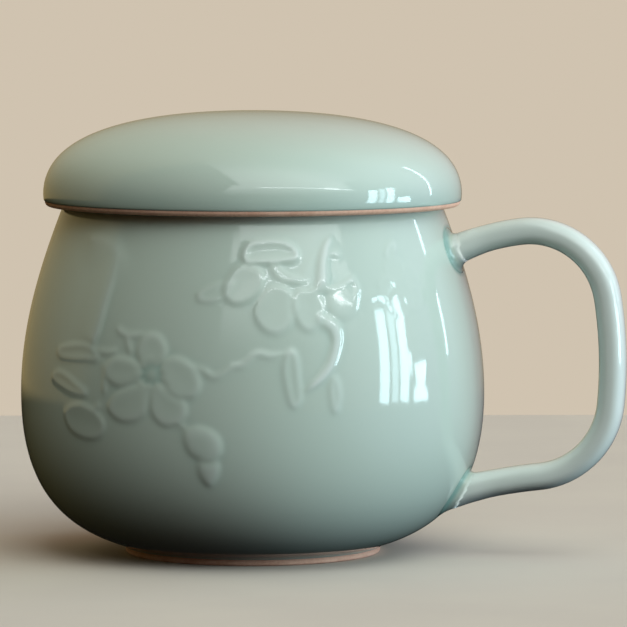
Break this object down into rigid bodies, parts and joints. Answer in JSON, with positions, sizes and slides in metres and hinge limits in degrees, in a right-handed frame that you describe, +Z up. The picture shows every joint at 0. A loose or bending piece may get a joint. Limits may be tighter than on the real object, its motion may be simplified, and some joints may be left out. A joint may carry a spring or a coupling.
{
  "type": "lidded tea mug with infuser",
  "caption": "Round-bellied celadon tea mug with an ear handle, a loose domed lid and a perforated porcelain infuser that hangs in its mouth; low flowering-branch relief on the belly.",
  "frame": {"origin": "centre of the foot ring's base plane, on the mug's axis", "axes": "+Z up along the mug's axis, +X towards the handle"},
  "size_m": [0.1443, 0.1108, 0.1047],
  "materials": {
    "celadon_glaze": "glossy pale blue-green celadon glaze over stoneware, bare red-brown clay on the foot ring and the lid's lower edge",
    "infuser_glaze": "glossy pale celadon glaze over porcelain"
  },
  "bodies": {
    "mug": {"mug_body": "celadon_glaze", "handle": "celadon_glaze", "blossom_left": "celadon_glaze", "blossom_right": "celadon_glaze", "blossom_upper": "celadon_glaze", "branch_left": "celadon_glaze", "branch_middle": "celadon_glaze", "branch_right": "celadon_glaze", "bud_hanging": "celadon_glaze", "bud_middle": "celadon_glaze", "bud_tip": "celadon_glaze", "leaf_curved": "celadon_glaze", "leaf_left_low": "celadon_glaze", "leaf_left_middle": "celadon_glaze", "leaf_left_top": "celadon_glaze", "leaf_low": "celadon_glaze", "leaf_right_low": "celadon_glaze", "leaf_right_top": "celadon_glaze", "leaf_slim": "celadon_glaze", "leaf_upper_left": "celadon_glaze", "stalk_hanging": "celadon_glaze", "twig_left": "celadon_glaze"},
    "infuser": {"infuser": "infuser_glaze"},
    "lid": {"lid": "celadon_glaze"}
  },
  "joints": [
    {"name": "infuser_lift", "type": "slide", "parent": "mug", "child": "infuser", "axis": [0, 0, 1], "range_m": [0, 0.07]},
    {"name": "lid_lift", "type": "slide", "parent": "infuser", "child": "lid", "axis": [0, 0, 1], "range_m": [0, 0.04]}
  ]
}
